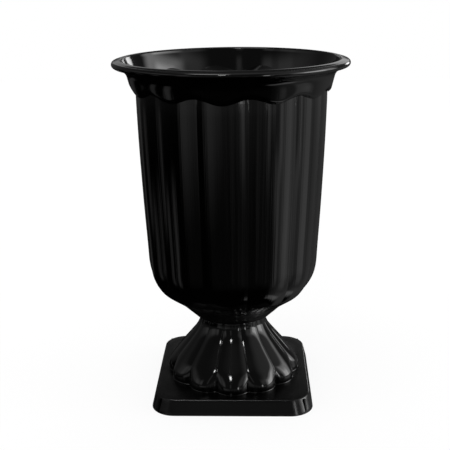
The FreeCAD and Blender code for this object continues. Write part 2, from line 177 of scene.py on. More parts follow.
# Bolt, washers and wing nut. The outlines are radius and height, in mm
BOLT_COLUMNS = 48
BOLT_RADIUS = 6.0 * MM
BOLT_TIP_OUTLINE = ((4.4, 58.3), (5.1, 58.9), (5.6, 59.8), (5.8, 60.3))
THREAD_PITCH = 3.0 * MM
THREAD_DEPTH = 0.7 * MM
THREAD_LOW = 60.5 * MM
THREAD_HIGH = 85.0 * MM
THREAD_ROWS = 8             # rows in each turn
THREAD_CREST = 2.2          # the ridge is a trapezium, cut off at 1 from a peak of this height
THREAD_SLOPE = 5.0
BOLT_HEAD_OUTLINE = (       # plain shank, flange and hexagon head with a hollow
    (6.0, 85.4), (6.0, 93.0), (6.0, 101.6), (6.1, 102.0), (6.5, 102.3), (15.5, 102.3),
    (15.86, 102.45), (16.0, 102.8), (16.0, 104.6), (15.85, 105.0), (15.4, 105.3), (14.6, 105.3),
    (13.9, 105.4), (13.85, 105.9), (13.85, 112.2), (13.7, 112.8), (12.9, 113.3), (9.0, 113.3),
    (8.6, 112.9), (8.6, 109.5), (8.2, 109.2),
)
HEX_LOW = 105.35 * MM
HEX_INSIDE = 11.0 * MM      # the hollow in the head, inside this radius, stays round
HEX_HALF = math.pi / 6
SEAL_OUTLINE = (
    (6.3, 99.7), (6.7, 99.3), (17.2, 99.3), (17.8, 99.6), (18.0, 100.2), (18.0, 101.4),
    (17.8, 102.0), (17.2, 102.3), (6.7, 102.3), (6.3, 101.9), (6.3, 99.7),
)
FLAT_WASHER_OUTLINE = (
    (6.3, 85.5), (6.5, 85.3), (15.8, 85.3), (16.0, 85.5), (16.0, 86.9), (15.6, 87.3),
    (6.5, 87.3), (6.3, 87.1), (6.3, 85.5),
)
NUT_OUTLINE = (
    (6.05, 73.8), (6.6, 73.3), (9.1, 73.3), (9.5, 73.7), (9.9, 77.0), (10.6, 83.0),
    (10.95, 84.9), (10.6, 85.3), (6.6, 85.3), (6.05, 84.8), (6.05, 73.8),
)
WING_COLUMNS = 40
WING_REACH = 27.0 * MM
WING_ROUND = 8.0 * MM       # radius of each wing's round end
WING_MIDDLE = 74.3 * MM
WING_THICKNESS = 3.6 * MM
WING_ROOT = 3.0 * MM        # the root begins this far in from the middle of the round end
WING_ROOT_IN = 5.5 * MM     # and is drawn in and up to the nut by these
WING_ROOT_UP = 3.2 * MM
WING_ROOT_WAIST = 0.62      # its height as a share of what it was
WING_ROOT_LEVEL = 5.0 * MM  # above the middle of the round end
WING_ROUNDING = 0.9 * MM


def smooth_line(points, steps):
    """Points at even steps along the natural cubic curve through the given points."""
    spots = [Vector(point) for point in points]
    ends = [0.0]
    for first, second in zip(spots, spots[1:]):
        ends.append(ends[-1] + (second - first).length)
    spans = [b - a for a, b in zip(ends, ends[1:])]
    zero = spots[0] * 0
    share, pull = [0.0], [zero]
    for i in range(1, len(spots) - 1):
        change = (spots[i + 1] - spots[i]) / spans[i] - (spots[i] - spots[i - 1]) / spans[i - 1]
        weight = 2 * (spans[i - 1] + spans[i]) - spans[i - 1] * share[-1]
        share.append(spans[i] / weight)
        pull.append((6 * change - spans[i - 1] * pull[-1]) / weight)
    bends = [zero] * len(spots)
    for i in range(len(spots) - 2, 0, -1):
        bends[i] = pull[i] - share[i] * bends[i + 1]
    line = []
    i = 0
    for step in range(steps + 1):
        along = ends[-1] * step / steps
        while i < len(spans) - 1 and along > ends[i + 1]:
            i += 1
        b = (along - ends[i]) / spans[i]
        a = 1 - b
        sag = ((a ** 3 - a) * bends[i] + (b ** 3 - b) * bends[i + 1]) * spans[i] ** 2 / 6
        line.append(a * spots[i] + b * spots[i + 1] + sag)
    return line


def in_mm(points):
    """The points in metres, from an outline written in millimetres."""
    return [tuple(value * MM for value in point) for point in points]


def new_piece(name):
    """A piece that holds one point, in edit mode, ready to be spun and extruded."""
    bpy.ops.object.select_all(action="DESELECT")
    bpy.ops.mesh.primitive_plane_add(size=MM)
    piece = bpy.context.object
    piece.name = name
    piece.data.name = name
    bpy.ops.object.mode_set(mode="EDIT")
    bpy.ops.mesh.select_mode(type="VERT")
    bpy.ops.mesh.select_all(action="SELECT")
    bpy.ops.mesh.merge(type="CENTER")
    return piece


def new_point():
    """One more point at the middle of the piece that is being edited."""
    bpy.ops.mesh.select_all(action="DESELECT")
    bpy.ops.mesh.primitive_plane_add(size=MM)
    bpy.ops.mesh.merge(type="CENTER")


def select_points(piece, wanted):
    """Selects the points that pass the test, and no others."""
    mesh = bmesh.from_edit_mesh(piece.data)
    for v in mesh.verts:
        v.select = wanted(v)
    mesh.select_flush_mode()
    bmesh.update_edit_mesh(piece.data)


def select_edges(piece, wanted):
    """Selects the edges that pass the test, and no others."""
    bpy.ops.mesh.select_mode(type="EDGE")
    bpy.ops.mesh.select_all(action="DESELECT")
    mesh = bmesh.from_edit_mesh(piece.data)
    mesh.normal_update()
    for edge in mesh.edges:
        edge.select = wanted(edge)
    bmesh.update_edit_mesh(piece.data)


def merge_points():
    """Merges the points that meet."""
    bpy.ops.mesh.select_all(action="SELECT")
    bpy.ops.mesh.remove_doubles(threshold=MERGE_DISTANCE)


def faces_outwards():
    """Turns all faces outwards and leaves edit mode."""
    bpy.ops.mesh.select_all(action="SELECT")
    bpy.ops.mesh.normals_make_consistent(inside=False)
    bpy.ops.object.mode_set(mode="OBJECT")


def spin_arc(centre, radius, half_angle, height):
    """Spins the selected point into an arc across the front, and selects the whole arc."""
    x = -radius * math.sin(half_angle)
    y = centre - radius * math.cos(half_angle)
    bpy.ops.transform.translate(value=(x, y, height))
    bpy.ops.mesh.spin(steps=COLUMNS, angle=-2 * half_angle, center=(0, centre, 0), axis=(0, 0, 1))
    bpy.ops.mesh.select_linked()


def round_arc(radius, height):
    """The arc of one lobe's width where the vase is round."""
    spin_arc(0, radius, HALF_LOBE, height)


def lobe_arc(crest, depth, height):
    """The arc of one lobe, which bulges from valley to valley."""
    valley = crest - depth
    half_width = valley * math.sin(HALF_LOBE)
    bulge = crest - valley * math.cos(HALF_LOBE)
    radius = (half_width ** 2 + bulge ** 2) / (2 * bulge)
    spin_arc(radius - crest, radius, math.asin(half_width / radius), height)


def next_row(rise, spread):
    """One more row of faces from the selected arc or ring."""
    bpy.ops.mesh.extrude_region()
    bpy.ops.transform.resize(value=(spread, spread, 1), center_override=(0, 0, 0))
    bpy.ops.transform.translate(value=(0, 0, rise))


def rows(outline):
    """Rows from the selected arc or ring, at the outline's first point, to its other points."""
    for (radius, height), (next_radius, next_height) in zip(outline, outline[1:]):
        next_row(next_height - height, next_radius / radius)


def lobed_rows(outline):
    """Rows of lobes from the selected arc, each with its own height, crest and lobe depth."""
    for here, there in zip(outline, outline[1:]):
        valley = there.y - there.z
        spread = valley / (here.y - here.z)
        next_row(there.x - here.x, spread)
        chord = valley * math.cos(HALF_LOBE)
        bulge = (there.y - chord) / (here.y * spread - chord)
        bpy.ops.transform.resize(value=(1, bulge, 1), center_override=(0, -chord, 0))


def shape_row(piece, place):
    """Moves the selected row, a pair of columns at a time, to the radius and height that
    place gives for the angle from the middle of the lobe and for the radius there now."""
    mesh = bmesh.from_edit_mesh(piece.data)
    row = [v.index for v in mesh.verts if v.select]
    mesh.verts.ensure_lookup_table()
    pairs = {}
    for index in row:
        spot = mesh.verts[index].co
        angle = abs(math.atan2(spot.x, -spot.y))
        pairs.setdefault(round(angle, 4), []).append(index)
    for angle, pair in pairs.items():
        select_points(piece, lambda v, pair=pair: v.index in pair)
        mesh = bmesh.from_edit_mesh(piece.data)
        mesh.verts.ensure_lookup_table()
        spot = mesh.verts[pair[0]].co
        here = math.hypot(spot.x, spot.y)
        radius, height = place(angle, here)
        spread = radius / here
        rise = height - spot.z
        bpy.ops.transform.resize(value=(spread, spread, 1), center_override=(0, 0, 0))
        bpy.ops.transform.translate(value=(0, 0, rise))
    select_points(piece, lambda v: v.index in row)


def wave(angle, line):
    """Height of a scalloped edge: low in the middle of a lobe and high at a valley."""
    return line - SCALLOP_RISE * math.cos(LOBES * angle)


def scalloped_rows(piece, shares, start, line, reach=None):
    """Rows from the selected level row, at the start height, to a scalloped edge about the
    line. Each share is how far along a row lies. Where reach is given, it says the radius for a
    height and for the edge's height there, and otherwise the radius stays."""
    for share in shares:
        next_row(0, 1)

        def place(angle, radius, share=share):
            edge = wave(angle, line)
            height = start + (edge - start) * share
            if reach:
                radius = reach(height, edge)
            return radius, height
        shape_row(piece, place)


def lobe_share(height):
    """How much of their full depth the bowl's lobes have at a height."""
    along = (height - LOBES_BEGIN) / (LOBES_FULL - LOBES_BEGIN)
    along = min(1, max(0, along))
    return along * along * (3 - 2 * along)


def collar_radius(height, edge):
    """The collar's face leans in from its top, and rolls under just above its scalloped edge."""
    lean = math.atan(COLLAR_LEAN)
    roll_height = COLLAR_ROLL * (math.sin(COLLAR_ROLL_END) - math.sin(lean))
    rolled = max(0.0, edge + roll_height - height)
    turn = math.asin(rolled / COLLAR_ROLL + math.sin(lean))
    face = COLLAR_RADIUS - COLLAR_LEAN * (COLLAR_TOP - height - rolled)
    return face - COLLAR_ROLL * (math.cos(lean) - math.cos(turn))


def band_radius(height):
    """The smooth band inside the mouth, hollowed like the outside."""
    share = (height - LEDGE_LINE) / (BAND_TOP - LEDGE_LINE)
    return LEDGE_RADIUS + BAND_FLARE * share - BAND_HOLLOW * share * (1 - share)


def across(edge):
    """True for an edge that runs round the vase, and not up it."""
    first, second = (math.atan2(v.co.x, -v.co.y) for v in edge.verts)
    return abs(first - second) > HALF_LOBE / COLUMNS


def bridge_rows(piece, near):
    """Joins the two open rows that lie where near says with one row of faces."""
    select_edges(piece, lambda edge: edge.is_boundary and across(edge)
                 and all(near(v.co) for v in edge.verts))
    bpy.ops.mesh.bridge_edge_loops()
    bpy.ops.mesh.select_mode(type="VERT")


def bridge_rings(piece, level):
    """Joins the two open rings at the level with one row of faces."""
    select_edges(piece, lambda edge: edge.is_boundary
                 and all(abs(v.co.z - level) < NEAR for v in edge.verts))
    bpy.ops.mesh.bridge_edge_loops()


def ring_of_lobes():
    """Copies the one lobe of the edited piece round the axis and joins the copies."""
    bpy.ops.mesh.select_all(action="SELECT")
    bpy.ops.mesh.spin(steps=LOBES, dupli=True, angle=2 * math.pi, center=(0, 0, 0), axis=(0, 0, 1))
    merge_points()
    faces_outwards()


def in_valley(edge, low, high):
    """True for an edge that runs up a valley on the outside of a piece."""
    if not all(low < v.co.z < high for v in edge.verts):
        return False
    for v in edge.verts:
        lobes_from_valley = math.atan2(v.co.x, -v.co.y) / LOBE_ANGLE - 0.5
        if abs(lobes_from_valley - round(lobes_from_valley)) > VALLEY_MISS:
            return False
    middle = (edge.verts[0].co + edge.verts[1].co) / 2
    return all(face.normal.x * middle.x + face.normal.y * middle.y > 0 for face in edge.link_faces)


def soften_edges(piece, width, segments, wanted):
    """Rounds the edges that pass the test."""
    bpy.ops.object.mode_set(mode="EDIT")
    select_edges(piece, wanted)
    bpy.ops.mesh.bevel(offset=width, segments=segments, affect="EDGES")
    bpy.ops.object.mode_set(mode="OBJECT")


def join_solid(piece, other):
    """Joins another solid to the piece."""
    bpy.ops.object.select_all(action="DESELECT")
    piece.select_set(True)
    bpy.context.view_layer.objects.active = piece
    join = piece.modifiers.new("join", "BOOLEAN")
    join.operation = "UNION"
    join.solver = "EXACT"
    join.object = other
    bpy.ops.object.modifier_apply(modifier=join.name)
    bpy.data.objects.remove(other)


def make_rim():
    """Cove, bead, lip and the smooth band inside the mouth, up from the collar's top."""
    round_arc(COLLAR_RADIUS, COLLAR_TOP)
    rows([tuple(spot) for spot in smooth_line(in_mm(COVE_OUTLINE), RIM_ROWS)])
    bead = []
    for step in range(RIM_ROWS + 1):
        angle = BEAD_START + BEAD_SWEEP * step / RIM_ROWS
        bead.append((BEAD_CENTRE[0] + BEAD_RADIUS * math.cos(angle),
                     BEAD_CENTRE[1] + BEAD_RADIUS * math.sin(angle)))
    rows([in_mm(COVE_OUTLINE)[-1]] + bead)
    rows([bead[-1]] + [tuple(spot) for spot in smooth_line(in_mm(LIP_OUTLINE), RIM_ROWS)])
    band = []
    for step in range(BAND_ROWS + 1):
        height = BAND_TOP - (BAND_TOP - BAND_LEVEL_LOW) * step / BAND_ROWS
        band.append((band_radius(height), height))
    rows([in_mm(LIP_OUTLINE)[-1]] + band)


def make_bowl():
    piece = new_piece("bowl_shell")

    # Lobed outer wall, from the hub up behind the collar's scalloped edge
    crest_line = [(spot.x, spot.y) for spot in smooth_line(in_mm(WALL_OUTLINE), WALL_ROWS)]
    outer = [(radius, height) for radius, height in crest_line if height < WALL_LEVEL_TOP]
    first_radius, first_height = outer[0]
    last_height = outer[-1][1]
    lobe_arc(first_radius, 0, first_height)
    lobed_rows([Vector((height, radius, radius * VALLEY_SHARE * lobe_share(height)))
                for radius, height in outer])
    scalloped_rows(piece, (0.35, 0.7, 1.0), last_height, SCALLOP_LINE + WALL_TUCK)

    # Collar down to its scalloped edge, and the rim up from it and down to the ledge inside
    new_point()
    round_arc(COLLAR_RADIUS, COLLAR_TOP)
    scalloped_rows(piece, (0.25, 0.45, 0.6, 0.68, 0.74, 0.79, 0.84, 0.88, 0.92, 0.96, 1.0),
                   COLLAR_TOP, SCALLOP_LINE, collar_radius)
    new_point()
    make_rim()
    scalloped_rows(piece, (0.3, 0.6, 0.85, 1.0), BAND_LEVEL_LOW, LEDGE_LINE,
                   lambda height, edge: band_radius(height))

    # Lobed inner wall, parallel to the outer one, from the ledge down to the hub
    inner = []
    ends = [crest_line[0]] + crest_line + [crest_line[-1]]
    for before, here, after in zip(ends, crest_line, ends[2:]):
        along = (Vector(after) - Vector(before)).normalized()
        inner.append((here[0] - BOWL_WALL * along.y, here[1] + BOWL_WALL * along.x))
    inner = [spot for spot in inner[::2] if INNER_LOW < spot[1] < INNER_LEVEL_TOP][::-1]
    top_radius, top_height = inner[0]
    new_point()
    lobe_arc(top_radius, top_radius * VALLEY_SHARE, top_height)
    scalloped_rows(piece, (0.4, 0.75, 1.0), top_height, LEDGE_LINE - LEDGE_DROP)
    new_point()
    lobe_arc(top_radius, top_radius * VALLEY_SHARE, top_height)
    rows(inner)

    # Hub, its socket over the spigot, the bolt hole and the floor inside
    new_point()
    round_arc(first_radius, first_height)
    rows(in_mm(HUB_OUTLINE))

    # The open rows are joined behind the collar, at the ledge and at the foot of the inner wall
    merge_points()
    bridge_rows(piece, lambda v: -NEAR < v.z - wave(math.atan2(v.x, -v.y), SCALLOP_LINE)
                < WALL_TUCK + NEAR)
    bridge_rows(piece, lambda v: v.z > WALL_LEVEL_TOP)
    bridge_rows(piece, lambda v: v.z < LOBES_FULL)
    ring_of_lobes()
    soften_edges(piece, VALLEY_ROUNDING, 3, lambda edge: in_valley(edge, VALLEY_LOW, VALLEY_HIGH))
    piece.rotation_euler.z = BOWL_TURN
    bpy.ops.object.transform_apply(location=True, rotation=True, scale=True)
    return piece


def plinth_outline(piece):
    """Adds the plinth's rounded square at the floor, with as many points as a ring of lobes."""
    bpy.ops.mesh.select_all(action="DESELECT")
    bpy.ops.mesh.select_mode(type="VERT")
    bpy.ops.mesh.primitive_plane_add(size=PLINTH_SIDE - 2 * PLINTH_CHAMFER)
    bpy.ops.mesh.bevel(affect="VERTICES", offset=PLINTH_CORNER, segments=COLUMNS)
    bpy.ops.mesh.select_linked()
    bpy.ops.mesh.delete(type="ONLY_FACE")
    select_edges(piece, lambda edge: not edge.link_faces and edge.calc_length() > PLINTH_SIDE / 2)
    bpy.ops.mesh.subdivide(number_cuts=2 * COLUMNS - 1)
    select_edges(piece, lambda edge: not edge.link_faces)


def make_plinth(piece):
    """Adds the plinth, from its rounded square outline up to the bell and in under it."""
    reach = PLINTH_SIDE / 2
    lean = PLINTH_DRAFT / PLINTH_TOP
    top_side = reach - PLINTH_DRAFT + lean * PLINTH_EDGE
    outside = [(reach - PLINTH_CHAMFER, 0), (reach - PLINTH_CHAMFER / 4, PLINTH_CHAMFER / 4),
               (reach - PLINTH_CHAMFER / 4, PLINTH_CHAMFER_TOP)]
    for height in PLINTH_SIDE_ROWS:
        outside.append((reach - lean * height, height))
    for step in range(PLINTH_EDGE_ROWS + 1):
        turn = PLINTH_EDGE_START + PLINTH_EDGE_SWEEP * step / PLINTH_EDGE_ROWS
        outside.append((top_side - PLINTH_EDGE * (1 - math.cos(turn)),
                        PLINTH_TOP - PLINTH_EDGE * (1 - math.sin(turn))))
    outside.append((top_side - PLINTH_TOP_RING, PLINTH_TOP - MERGE_DISTANCE))
    plinth_outline(piece)
    rows(outside)
    bridge_rings(piece, PLINTH_TOP)

    room = PLINTH_TOP - PEDESTAL_WALL
    foot = reach - PEDESTAL_WALL
    top = foot - lean * room
    plinth_outline(piece)
    rows([(reach - PLINTH_CHAMFER, 0), (foot, 0), ((foot + top) / 2, room / 2),
          (top, room - INNER_CHAMFER), (top - INNER_CHAMFER, room),
          (top - INNER_RING, room - MERGE_DISTANCE)])
    merge_points()
    bridge_rings(piece, room)


def make_pedestal():
    piece = new_piece("pedestal_shell")

    # Bell outside, from the plinth up to the seam, then the spigot and the neck plate
    outside = smooth_line(in_mm(BELL_OUTLINE), BELL_ROWS)
    height, crest, depth = in_mm(FOOT_OUTLINE)[0]
    lobe_arc(crest, depth, height)
    lobed_rows([Vector(spot) for spot in in_mm(FOOT_OUTLINE)] + outside)
    neck = in_mm(NECK_OUTLINE)
    new_point()
    round_arc(*neck[0])
    rows(neck)

    # Bell inside, parallel to the outside, and straight down into the plinth
    inside = []
    for before, here, after in zip([outside[0]] + outside, outside, outside[1:] + [outside[-1]]):
        rise, flare = after.x - before.x, after.y - before.y
        reach = math.hypot(rise, flare)
        inside.append(Vector((
            here.x + PEDESTAL_WALL * flare / reach,
            here.y - PEDESTAL_WALL * rise / reach,
            here.z * (here.y - PEDESTAL_WALL) / here.y,
        )))
    inside = [spot for spot in inside if BELL_INSIDE_LOW < spot.x < BELL_INSIDE_HIGH]
    foot = inside[0]
    new_point()
    lobe_arc(foot.y, foot.z, foot.x)
    lobed_rows(inside)
    new_point()
    lobe_arc(foot.y, foot.z, foot.x)
    lobed_rows([foot, Vector((PLINTH_TOP - PEDESTAL_WALL, foot.y, foot.z))])

    # The open rows are joined at the seam, and then inside under the neck plate
    merge_points()
    bridge_rows(piece, lambda v: v.z > NECK_PLATE_TOP)
    bridge_rows(piece, lambda v: v.z > inside[-1].x - NEAR)
    ring_of_lobes()
    soften_edges(piece, BELL_VALLEY_ROUNDING, 2,
                 lambda edge: in_valley(edge, BELL_VALLEY_LOW, BELL_VALLEY_HIGH))

    bpy.ops.object.mode_set(mode="EDIT")
    make_plinth(piece)
    faces_outwards()
    join_solid(piece, make_ribs())
    return piece


def make_ribs():
    """The ribs under the plinth, which run out from the bell to the plinth's sides."""
    top = PLINTH_TOP - PEDESTAL_WALL + RIB_SINK
    side = PLINTH_SIDE / 2 - PEDESTAL_WALL
    bpy.ops.object.select_all(action="DESELECT")
    bpy.ops.mesh.primitive_cube_add(size=1, location=(0, 0, 0))
    ribs = bpy.context.object
    bpy.ops.object.mode_set(mode="EDIT")
    bpy.ops.mesh.select_all(action="SELECT")
    for turn in range(LOBES):
        if turn:
            bpy.ops.mesh.primitive_cube_add(size=1)
        outer_end = side / math.cos(HALF_LOBE) - RIB_END_GAP
        if turn % 3 == 1:       # one rib in three points at a corner
            corner_middle = side - PLINTH_CORNER + RIB_CORNER_REACH
            outer_end = corner_middle * math.sqrt(2) + PLINTH_CORNER - RIB_END_GAP
        bpy.ops.transform.resize(value=(outer_end - RIB_INNER_END, RIB_THICKNESS, top - RIB_FOOT),
                                 center_override=(0, 0, 0))
        bpy.ops.transform.translate(value=((outer_end + RIB_INNER_END) / 2, 0, (top + RIB_FOOT) / 2))
        select_points(ribs, lambda v: v.select and v.co.x > RIB_MIDDLE and v.co.z < RIB_LOW)
        bpy.ops.transform.translate(value=(RIB_DRAFT, 0, 0))
        bpy.ops.mesh.select_linked()
        bpy.ops.transform.rotate(value=-(HALF_LOBE + turn * LOBE_ANGLE), orient_axis="Z",
                                 center_override=(0, 0, 0))
        bpy.ops.mesh.select_all(action="DESELECT")
    bpy.ops.object.mode_set(mode="OBJECT")
    return ribs


def turned_piece(name, outline):
    """A ring of points at the outline's first radius and height, drawn out along it."""
    bpy.ops.object.select_all(action="DESELECT")
    radius, height = outline[0]
    bpy.ops.mesh.primitive_circle_add(vertices=BOLT_COLUMNS, radius=radius, location=(0, 0, height))
    piece = bpy.context.object
    piece.name = name
    piece.data.name = name
    bpy.ops.object.transform_apply(location=True, rotation=True, scale=True)
    bpy.ops.object.mode_set(mode="EDIT")
    bpy.ops.mesh.select_mode(type="VERT")
    bpy.ops.mesh.select_all(action="SELECT")
    rows(outline)
    return piece


def close_piece():
    """Merges what meets, closes the ends and turns the faces outwards."""
    merge_points()
    bpy.ops.mesh.select_all(action="SELECT")
    bpy.ops.mesh.fill_holes(sides=0)
    faces_outwards()


def thread_cut(height, around):
    """How deep the thread is cut at a height and an angle. It fades out at its top."""
    phase = (height / THREAD_PITCH - around / (2 * math.pi)) % 1
    ridge = min(1, max(0, THREAD_CREST - THREAD_SLOPE * abs(phase - 0.5)))
    fade = min(1, (THREAD_HIGH - height) / THREAD_PITCH)
    return THREAD_DEPTH * (1 - ridge) * fade


def make_clamp_bolt():
    """Plastic bolt with a coarse thread, a flange and a hexagon head with a hollow."""
    thread_rows = round((THREAD_HIGH - THREAD_LOW) / THREAD_PITCH * THREAD_ROWS)
    thread = [(BOLT_RADIUS, THREAD_LOW + (THREAD_HIGH - THREAD_LOW) * row / thread_rows)
              for row in range(thread_rows + 1)]
    piece = turned_piece("clamp_bolt_threaded",
                         in_mm(BOLT_TIP_OUTLINE) + thread + in_mm(BOLT_HEAD_OUTLINE))
    mesh = bmesh.from_edit_mesh(piece.data)
    for v in mesh.verts:
        around = math.atan2(v.co.y, v.co.x)
        reach = math.hypot(v.co.x, v.co.y)
        spread = 1
        if THREAD_LOW - NEAR < v.co.z < THREAD_HIGH + NEAR:
            spread = (reach - thread_cut(v.co.z, around)) / reach
        elif v.co.z > HEX_LOW and reach > HEX_INSIDE:
            from_flat = (around + HEX_HALF) % (2 * HEX_HALF) - HEX_HALF
            spread = math.cos(HEX_HALF) / math.cos(from_flat)
        v.co.x *= spread
        v.co.y *= spread
    bmesh.update_edit_mesh(piece.data)
    close_piece()
    return piece


def make_washer(name, outline):
    piece = turned_piece(name, in_mm(outline))
    close_piece()
    return piece


def make_wing(side):
    """A round wing, whose root is drawn in to reach the nut."""
    middle = side * (WING_REACH - WING_ROUND)
    bpy.ops.object.select_all(action="DESELECT")
    bpy.ops.mesh.primitive_cylinder_add(vertices=WING_COLUMNS, radius=WING_ROUND, depth=WING_THICKNESS,
                                        location=(middle, 0, WING_MIDDLE),
                                        rotation=(math.pi / 2, 0, 0))
    wing = bpy.context.object
    bpy.ops.object.transform_apply(location=True, rotation=True, scale=True)
    bpy.ops.object.mode_set(mode="EDIT")
    bpy.ops.mesh.select_mode(type="VERT")
    select_points(wing, lambda v: (middle - v.co.x) * side > WING_ROOT)
    bpy.ops.transform.translate(value=(-side * WING_ROOT_IN, 0, WING_ROOT_UP))
    bpy.ops.transform.resize(value=(1, 1, WING_ROOT_WAIST),
                             center_override=(middle, 0, WING_MIDDLE + WING_ROOT_LEVEL))
    bpy.ops.object.mode_set(mode="OBJECT")
    soften_edges(wing, WING_ROUNDING, 3, lambda edge: len(edge.link_faces) == 2
                 and abs(edge.verts[0].co.y - edge.verts[1].co.y) < NEAR)
    return wing


def make_wing_nut():
    """Plastic nut with two round wings."""
    piece = turned_piece("wing_nut_body", in_mm(NUT_OUTLINE))
    close_piece()
    for side in (-1, 1):
        join_solid(piece, make_wing(side))
    return piece


def math_node(tree, operation, *values):
    """A node that works out one sum from numbers or from other nodes' outputs."""
    node = tree.nodes.new("ShaderNodeMath")
    node.operation = operation
    for socket, value in zip(node.inputs, values):
        if isinstance(value, (int, float)):
            socket.default_value = value
        else:
            tree.links.new(value, socket)
    return node.outputs[0]


def ramp_node(tree, value, low, high, at_low, at_high, interpolation="SMOOTHSTEP"):
    """A node that goes from at_low to at_high while the value goes from low to high."""
    node = tree.nodes.new("ShaderNodeMapRange")
    node.interpolation_type = interpolation
    tree.links.new(value, node.inputs["Value"])
    node.inputs["From Min"].default_value = low
    node.inputs["From Max"].default_value = high
    node.inputs["To Min"].default_value = at_low
    node.inputs["To Max"].default_value = at_high
    return node.outputs["Result"]


def new_material(name):
    """A material with a Principled shader, its node tree and that shader."""
    material = bpy.data.materials.new(name)
    material.use_nodes = True
    shader = material.node_tree.nodes["Principled BSDF"]
    shader.inputs["IOR"].default_value = 1.5
    return material, material.node_tree, shader


def mix_colors(tree, factor, first, second, socket):
    """Leads a color between the two, by the factor, into the socket."""
    tint = tree.nodes.new("ShaderNodeMix")
    tint.data_type = "RGBA"
    tint.inputs["A"].default_value = first
    tint.inputs["B"].default_value = second
    tree.links.new(factor, tint.inputs["Factor"])
    tree.links.new(tint.outputs["Result"], socket)


HAZE_SCALE = 45
HAZE_SPREAD = 0.25          # how far the haze makes the roughness vary, as a share of it
BLACK = (0.0002, 0.0002, 0.00022, 1)
HAZY_BLACK = (0.0004, 0.0004, 0.00042, 1)


def gloss_plastic(name, roughness):
    """Black moulded plastic, glossy with a faint haze."""
    material, tree, shader = new_material(name)
    place = tree.nodes.new("ShaderNodeTexCoord")
    haze = tree.nodes.new("ShaderNodeTexNoise")
    haze.inputs["Scale"].default_value = HAZE_SCALE
    haze.inputs["Detail"].default_value = 4
    tree.links.new(place.outputs["Object"], haze.inputs["Vector"])
    rough = ramp_node(tree, haze.outputs["Fac"], 0, 1, (1 - HAZE_SPREAD) * roughness,
                      (1 + HAZE_SPREAD) * roughness, "LINEAR")
    tree.links.new(rough, shader.inputs["Roughness"])
    mix_colors(tree, haze.outputs["Fac"], BLACK, HAZY_BLACK, shader.inputs["Base Color"])
    return material


HUB_DULL_LOW = 112.0 * MM   # the plastic is dull up to here
HUB_DULL_HIGH = 136.0 * MM  # and glossy from here
HUB_DULLNESS = 4.5          # how many times rougher
MARKS_LOW = 118.0 * MM      # the draw marks begin here
MARKS_LOW_FULL = 150.0 * MM
MARKS_HIGH_FULL = 382.0 * MM
MARKS_HIGH = 398.0 * MM     # and end here
DRAW_MARKS = (              # name, scale round and outwards and up, detail, depth
    ("draw marks", (22, 1, 2.2), 2.0, 0.15 * MM),
    ("fine draw marks", (110, 1, 3.0), 1.0, 0.07 * MM),
)


def bowl_plastic():
    """Gloss plastic with faint upright draw marks on the wall, and duller towards the hub."""
    material = gloss_plastic("black_gloss_bowl", 0.08)
    tree = material.node_tree
    shader = tree.nodes["Principled BSDF"]
    place = tree.nodes.new("ShaderNodeTexCoord")
    parts = tree.nodes.new("ShaderNodeSeparateXYZ")
    tree.links.new(place.outputs["Object"], parts.inputs[0])
    height = parts.outputs["Z"]
    gloss = shader.inputs["Roughness"].links[0].from_socket
    dull = ramp_node(tree, height, HUB_DULL_LOW, HUB_DULL_HIGH, HUB_DULLNESS, 1.0)
    tree.links.new(math_node(tree, "MULTIPLY", gloss, dull), shader.inputs["Roughness"])

    unrolled = tree.nodes.new("ShaderNodeCombineXYZ")
    tree.links.new(math_node(tree, "ARCTAN2", parts.outputs["X"], parts.outputs["Y"]),
                   unrolled.inputs["X"])
    tree.links.new(height, unrolled.inputs["Z"])
    below_rim = ramp_node(tree, height, MARKS_HIGH, MARKS_HIGH_FULL, 0, 1, "LINEAR")
    above_hub = ramp_node(tree, height, MARKS_LOW, MARKS_LOW_FULL, 0, 1, "LINEAR")
    on_wall = math_node(tree, "MULTIPLY", below_rim, above_hub)
    normal = None
    for label, scale, detail, depth in DRAW_MARKS:
        stretch = tree.nodes.new("ShaderNodeMapping")
        stretch.inputs["Scale"].default_value = scale
        tree.links.new(unrolled.outputs[0], stretch.inputs["Vector"])
        marks = tree.nodes.new("ShaderNodeTexNoise")
        marks.label = label
        marks.inputs["Scale"].default_value = 1.0
        marks.inputs["Detail"].default_value = detail
        tree.links.new(stretch.outputs[0], marks.inputs["Vector"])
        bump = tree.nodes.new("ShaderNodeBump")
        bump.inputs["Strength"].default_value = 1.0
        bump.inputs["Distance"].default_value = depth
        tree.links.new(math_node(tree, "MULTIPLY", marks.outputs["Fac"], on_wall),
                       bump.inputs["Height"])
        if normal:
            tree.links.new(normal, bump.inputs["Normal"])
        normal = bump.outputs[0]
    tree.links.new(normal, shader.inputs["Normal"])
    return material


GRAIN_SCALE = 1000          # one grain is about a millimetre
DARKER = 0.85
LIGHTER = 1.15


